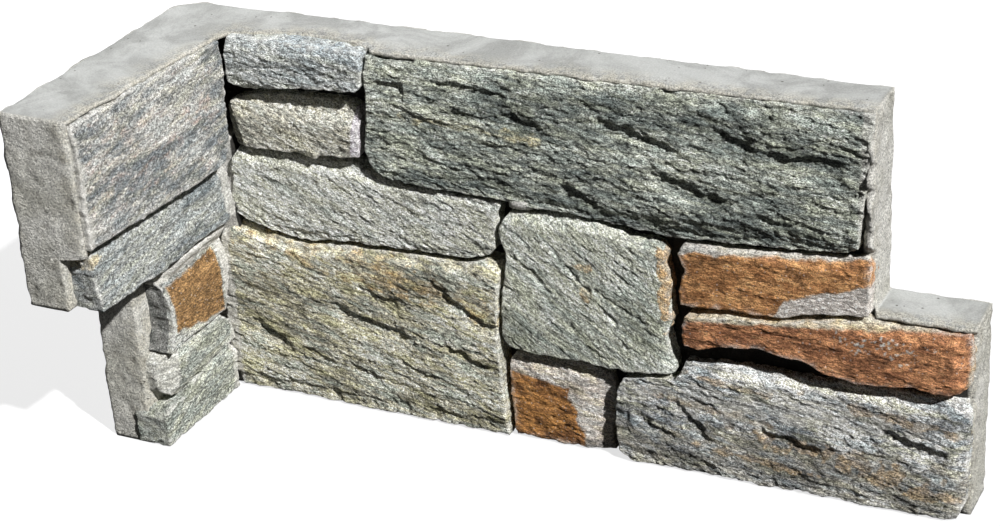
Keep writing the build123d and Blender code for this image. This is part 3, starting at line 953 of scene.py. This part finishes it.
over_short = 21.5 + 0.072 * along
over_corner_stone = np.clip(0.24 * np.abs(along - 58) - 2, 0, 9)
over_slab = 10.0 - 0.026 * (along - 92)
over_step = 4.0
reach = np.select(
    [on_short, along > long_upper_end - corner_x - 1, along > 92],
    [over_short, over_step, over_slab],
    over_corner_stone,
)
ragged = rough(np.stack([along / 14, zero, zero + 0.3 * on_short], -1), 901, octaves=4, gain=0.6)
reach = np.maximum(reach + 1.3 * ragged, 0)
film_plan = front_plan + plan_normals(front_plan) * reach[:, None]
film_plan = bridged(film_plan, (on_short & (along > -1)) | (~on_short & (along < 14)))

in_corner = (on_short & (along > LONG_FACE_OUT - MORTAR_OUT)) | (~on_short & (along < 9))
mortar_plan = front_plan.copy()
mortar_plan[np.flatnonzero(in_corner)[-1] + 1, 1] -= MORTAR_OUT
mortar_plan = bridged(mortar_plan, in_corner)

course_top = np.where(station > last_upper, COURSE, high[2])[:, None]
film = smooth_step(zz, course_top - FILM - 1, course_top - FILM)
film = np.maximum(film, (station[:, None] <= 1) * smooth_step(zz, END_FILM_FOOT - 1, END_FILM_FOOT + 1))
mortar = (1 - smooth_step(zz, 142, 147)) * (1 - film)
mortar = mortar * (1 + 0.25 * np.exp(-(((zz - 103) / 9) ** 2)))
beside = smooth_step(along, 337, 339)[:, None] * smooth_step(zz, 129, 132) * (1 - film)
bare = np.where(zz > COURSE, station[:, None] < 4, along[:, None] < -53) & on_short[:, None]
bare = bare | (~on_short[:, None] & (along[:, None] > np.where(zz > COURSE, 336, 387)))
dab = np.exp(-(((along[:, None] - 169) / 8) ** 6) - ((zz - 130.5) / 4) ** 6) * ~on_short[:, None]
print("film reaches", round(float(reach.max()), 1), "mm at most")

# %% [markdown]
# ## Sheets and rim in one mesh
# A sheet's edge is where a kept cell meets a missing one. For each such edge the rim needs the same two points
# on the front and on the back, and some points between. Numbering the edge points once lets neighbouring rim
# strips share them, so the surface is closed.

# %% Closed backing


front_xy = front_plan[:, None] + film[..., None] * (film_plan - front_plan)[:, None]
front_xy = front_xy + mortar[..., None] * (mortar_plan - front_plan)[:, None]
lumps = 1 + 0.8 * rough(np.stack(np.broadcast_arrays(along[:, None] / 6, zz / 6, 0.5), -1), 903, octaves=3)
front_xy = front_xy + (11.0 * dab + END_FILL * beside * lumps)[..., None] * plan_normals(front_plan)[:, None]
front_points = np.concatenate([front_xy, zz[..., None]], -1).reshape(-1, 3)
back_xy = np.broadcast_to(back_plan[:, None, :], front_xy.shape)
back_points = np.concatenate([back_xy, zz[..., None]], -1).reshape(-1, 3)


def sheet_quads(kept):
    """Quads of the kept cells, turned to face the room."""
    index = np.arange(stations * len(heights)).reshape(stations, len(heights))
    quads = np.stack([index[:-1, :-1], index[1:, :-1], index[1:, 1:], index[:-1, 1:]], -1)
    return quads[kept]


def border_edges(quads):
    """Directed edges that only one quad uses."""
    edges = np.concatenate([np.stack([quads[:, k], quads[:, (k + 1) % 4]], -1) for k in range(4)])
    code = edges[:, 0] * 10**7 + edges[:, 1]
    mirror = edges[:, 1] * 10**7 + edges[:, 0]
    return edges[~np.isin(code, mirror)]


sheet_size = stations * len(heights)
front_quads = sheet_quads(cells)
back_quads = front_quads[:, ::-1] + sheet_size
edges = border_edges(front_quads)
border = np.unique(edges)
shares = np.linspace(0, 1, RIM_STEPS + 1)[1:-1, None, None]
rim_points = front_points[border] + (back_points[border] - front_points[border]) * shares
steps = np.concatenate([
    border[None],
    2 * sheet_size + np.arange((RIM_STEPS - 1) * len(border)).reshape(RIM_STEPS - 1, -1),
    border[None] + sheet_size,
])
start, end = np.searchsorted(border, edges[:, 0]), np.searchsorted(border, edges[:, 1])
rim_quads = np.stack([steps[:-1, end], steps[:-1, start], steps[1:, start], steps[1:, end]], -1).reshape(-1, 4)
cement_points = np.concatenate([front_points, back_points, rim_points.reshape(-1, 3)])
cement_quads = np.concatenate([front_quads, back_quads, rim_quads])

used, renumbered = np.unique(cement_quads, return_inverse=True)
cement_points = cement_points[used]
cement_quads = renumbered.reshape(-1, 4)
sharp = np.isin(used, np.concatenate([border, border + sheet_size]))
shown = (film + (mortar > 0.5) * in_corner[:, None] + dab + beside + bare).ravel()
filled = np.clip(mortar * in_corner[:, None] + dab + 0.6 * beside, 0, 1).ravel()
elsewhere = np.zeros(sheet_size + rim_points.size // 3)
# Painted shade: the front sheet behind and between the stones, where no film, mortar or bare face shows.
painted_joint_shade = np.concatenate([1 - np.clip(shown, 0, 1), elsewhere])[used]
paste = np.concatenate([filled, elsewhere])[used]
from_front = np.concatenate([np.zeros(sheet_size), np.full(sheet_size, 60.0)])
rim_depth = np.linalg.norm(rim_points - front_points[border], axis=-1).ravel()
from_front = np.concatenate([from_front, rim_depth])[used]
print("cement points:", len(cement_points), "quads:", len(cement_quads))

# %% [markdown]
# ## Worn casting
# A casting's edges crumble and its faces wave by less than a millimetre. Ends that were broken out of the mould
# are rougher, with pits. The points move along their normals: edge points inwards, to blunt the arris, and all
# points by a slow and a quick noise.

# %% Cement surface and marks
backing = add_mesh("cement_backing_cast", cement_points, cement_quads)
normals = np.zeros(len(cement_points) * 3)
backing.data.vertices.foreach_get("normal", normals)
normals = normals.reshape(-1, 3)
upright = 1 - smooth_step(np.abs(normals[:, 2]), 0.3, 0.8)
crumble = 0.7 + 1.3 * rough(cement_points / 15, 911, octaves=3, gain=0.5)
pits = smooth_step(noise(cement_points / 5, 914), 0.42, 0.7) + smooth_step(noise(cement_points / 11, 915), 0.5, 0.75)
shift = 0.4 * rough(cement_points / 38, 912, octaves=3) + 0.12 * rough(cement_points / 5, 913, octaves=3)
shift = shift + upright * (0.6 * rough(cement_points / 9, 916, octaves=4, gain=0.6) - 0.5 * pits)
shift = shift - 0.9 * sharp * np.maximum(crumble, 0)
worn_points = cement_points + normals * shift[:, None]
worn_points[:, 2] = np.maximum(worn_points[:, 2], 0)
backing.data.vertices.foreach_set("co", (worn_points * MM).ravel())
backing.data.update()
marks = {
    "struck": smooth_step(normals[:, 2], 0.6, 0.95),
    "painted_joint_shade": painted_joint_shade,
    "paste": paste,
    "gritty": np.exp(-((from_front / (7 + 6 * noise(cement_points / 22, 917))) ** 2)) * (1 - painted_joint_shade),
    # The pits mark also drives painted shade in the finish.
    "pits": np.clip(upright * pits, 0, 1),
}
add_marks(backing, marks)
print("cement moved by", shift.min().round(2), "to", shift.max().round(2), "mm")

# %% [markdown]
# ## Cement finish
# Cast cement is grey with a slow cloudiness, fine sand, and pinholes where air was caught. The top, which was
# struck off smooth, is paler. Pinholes are small cells of a Voronoi pattern: painted dark inside, as painted
# shade, and pressed in by the bump. The pits and the hollows of the torn ends get painted shade as well.

# %% Cement material


def cement_finish():
    """Clouds mix two greys; sand is fine noise; pinholes are the centres of a few Voronoi cells. The struck top is
    paler, the paste in the corner paler still; grit shows where the film is thin. Painted shade darkens the
    pinholes, the pits and the hollows of the torn ends, and paints the joints between the stones nearly black."""
    finish = Finish("cast_cement")
    place = finish.stretch(finish.add("ShaderNodeTexCoord").outputs["Object"], (1000, 1000, 1000))
    cloud = finish.noise(place, (0.02, 0.02, 0.03), detail=4.0)
    blotch = finish.noise(place, (0.14, 0.14, 0.14), detail=4.0, rough=0.6)
    sand = finish.noise(place, (1.1, 1.1, 1.1), detail=4.0, rough=0.7)
    torn = finish.noise(place, (0.28, 0.28, 0.42), detail=5.0, rough=0.7, twist=1.2)
    holes = finish.add("ShaderNodeTexVoronoi", {"Vector": place, "Scale": 0.26, "Randomness": 1.0})
    chance = finish.add("ShaderNodeSeparateColor", {"Color": holes.outputs["Color"]}).outputs["Red"]
    reach = finish.math("MULTIPLY", finish.span(chance, 0.5, 1.0), 0.17)
    hole = finish.span(finish.math("SUBTRACT", holes.outputs["Distance"], reach), 0.0, -0.04)
    struck, gritty = finish.mark("struck"), finish.mark("gritty")

    base = finish.mix(finish.span(cloud, 0.38, 0.62), colour(200, 198, 188), colour(222, 220, 213))
    base = finish.mix(finish.span(blotch, 0.45, 0.7, 0.0, 0.35), base, colour(166, 162, 150))
    float_marks = finish.noise(place, (0.03, 0.03, 0.03), detail=6.0, rough=0.65, twist=0.8)
    smooth = finish.mix(finish.span(float_marks, 0.38, 0.62), colour(132, 134, 133), colour(166, 168, 167))
    base = finish.mix(finish.span(struck, 0.0, 1.0, 0.0, 0.85), base, smooth)
    thin = finish.math("MULTIPLY", gritty, finish.span(blotch, 0.4, 0.6, 0.1, 0.6))
    base = finish.mix(thin, base, colour(200, 195, 180))
    base = finish.mix(finish.mark("paste"), base, colour(222, 220, 214))
    coarse = finish.span(finish.math("MAXIMUM", gritty, finish.math("SUBTRACT", 1.0, struck)), 0.0, 1.0, 0.25, 1.0)
    grains = finish.span(sand, 0.32, 0.68, 0.5, 1.42)
    base = finish.mix(coarse, base, finish.mix(1.0, base, grains, "MULTIPLY"))
    # Painted shade: the hollows of the torn relief on the upright ends are darkened.
    torn_hollow_shade = finish.math("MULTIPLY", finish.math("SUBTRACT", 1.0, struck), finish.span(torn, 0.42, 0.26, 0.0, 0.5))
    base = finish.mix(torn_hollow_shade, base, colour(96, 92, 84))
    # Painted shade in the pits.
    base = finish.mix(finish.math("MULTIPLY", finish.mark("pits"), 0.35), base, colour(90, 86, 78))
    # Painted shade inside the pinholes.
    base = finish.mix(finish.math("MULTIPLY", hole, 0.75), base, colour(80, 77, 70))
    # Painted shade: the joints between the stones are darkened nearly to black.
    base = finish.mix(finish.math("MULTIPLY", finish.mark("painted_joint_shade"), 0.95), base, colour(32, 30, 27))
    finish.feed(finish.shader.inputs["Base Color"], base)
    finish.shader.inputs["Roughness"].default_value = 0.9
    finish.shader.inputs["Specular IOR Level"].default_value = 0.25
    grit = finish.math("MULTIPLY", sand, finish.span(coarse, 0.25, 1.0, 0.25, 1.0))
    tear = finish.math("MULTIPLY", torn, finish.span(struck, 0.0, 1.0, 2.2, 0.0))
    finish.bump(finish.math("SUBTRACT", finish.math("ADD", grit, tear), hole), 0.8)
    return finish.material


backing.data.materials.append(cement_finish())
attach(backing, "root")
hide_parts("cement_backing")

# %% [markdown]
# ## Floor, light and background
# The panel stands on a plain pale floor. One lamp, high on the right, rakes along the long wall, which is what
# makes split stone read; a weak world and a soft lamp behind keep the far sides from going black. The camera
# sees the floor near white, with the panel's shadow on it, but the floor throws back only a little light, so
# that the joints stay dark.

# %% Floor and world
FLOOR_SIZE = 6.0
WORLD_LIGHT = 0.016

floor_mesh = bpy.data.meshes.new("floor")
half = FLOOR_SIZE / 2
floor_mesh.from_pydata([(-half, -half, 0), (half, -half, 0), (half, half, 0), (-half, half, 0)], [], [(0, 1, 2, 3)])
floor = bpy.data.objects.new("floor", floor_mesh)
bpy.context.scene.collection.objects.link(floor)

floor_look = Finish("pale_floor")
floor_look.shader.inputs["Base Color"].default_value = (0.035, 0.035, 0.035, 1)
floor_look.shader.inputs["Roughness"].default_value = 0.95
pale = floor_look.add("ShaderNodeBsdfDiffuse", {"Color": (0.9, 0.9, 0.9, 1)})
glow = floor_look.add("ShaderNodeEmission", {"Color": (1, 1, 1, 1), "Strength": 1.0})
seen = floor_look.add("ShaderNodeMixShader", {0: 0.72, 1: pale.outputs[0], 2: glow.outputs[0]})
camera_ray = floor_look.add("ShaderNodeLightPath").outputs["Is Camera Ray"]
blend = floor_look.add("ShaderNodeMixShader", {0: camera_ray, 1: floor_look.shader.outputs[0], 2: seen.outputs[0]})
floor_look.feed(floor_look.tree.nodes["Material Output"].inputs["Surface"], blend.outputs[0])
floor_mesh.materials.append(floor_look.material)

world = bpy.data.worlds.new("pale_world")
world.use_nodes = True
sky = world.node_tree.nodes["Background"]
sky.inputs["Color"].default_value = (1, 1, 1, 1)
rays = world.node_tree.nodes.new("ShaderNodeLightPath")
level = world.node_tree.nodes.new("ShaderNodeMapRange")
level.inputs["To Min"].default_value = WORLD_LIGHT
level.inputs["To Max"].default_value = 1.0
world.node_tree.links.new(rays.outputs["Is Camera Ray"], level.inputs["Value"])
world.node_tree.links.new(level.outputs["Result"], sky.inputs["Strength"])
bpy.context.scene.world = world

# %% Lamps
KEY_FROM = Vector((0.64, -0.30, 0.70))
KEY_STRENGTH = 5.5
KEY_ANGLE = 1.5
FILL_AT = Vector((-1.0, 1.3, 0.9))
FILL_SIZE = 1.4
FILL_POWER = 26.0


def add_lamp(name, kind, place, **settings):
    """A lamp at a place, turned to the middle of the panel."""
    lamp = bpy.data.lights.new(name, kind)
    for key, value in settings.items():
        setattr(lamp, key, value)
    holder = bpy.data.objects.new(name, lamp)
    middle = (Vector(cad_box[0]) + Vector(cad_box[1])) / 2
    holder.location = place
    holder.rotation_euler = (middle - place).to_track_quat("-Z", "Y").to_euler()
    bpy.context.scene.collection.objects.link(holder)


add_lamp("key", "SUN", 2 * KEY_FROM, energy=KEY_STRENGTH, angle=np.radians(KEY_ANGLE))
add_lamp("fill", "AREA", FILL_AT, shape="DISK", size=FILL_SIZE, energy=FILL_POWER)

# %% [markdown]
# ## Camera
# The picture was taken from the right, looking down a little, with a long lens and a slight tilt. The place,
# aim and tilt below were worked out from the panel's own straight edges.

# %% Camera
CAMERA_AT = Vector((0.4324, -0.8179, 0.5885))
CAMERA_AIM = Vector((-0.0641, 0.1257, 0.0500))
CAMERA_TILT = -3.713
LENS = 80.73

camera_data = bpy.data.cameras.new("camera")
camera_data.lens = LENS
camera_data.sensor_width = 36.0
camera = bpy.data.objects.new("camera", camera_data)
camera.location = CAMERA_AT
turn = (CAMERA_AIM - CAMERA_AT).to_track_quat("-Z", "Y").to_matrix()
camera.rotation_euler = (turn @ Matrix.Rotation(np.radians(CAMERA_TILT), 3, "Z")).to_euler()
bpy.context.scene.collection.objects.link(camera)
bpy.context.scene.camera = camera
bpy.context.scene.view_settings.view_transform = "Standard"
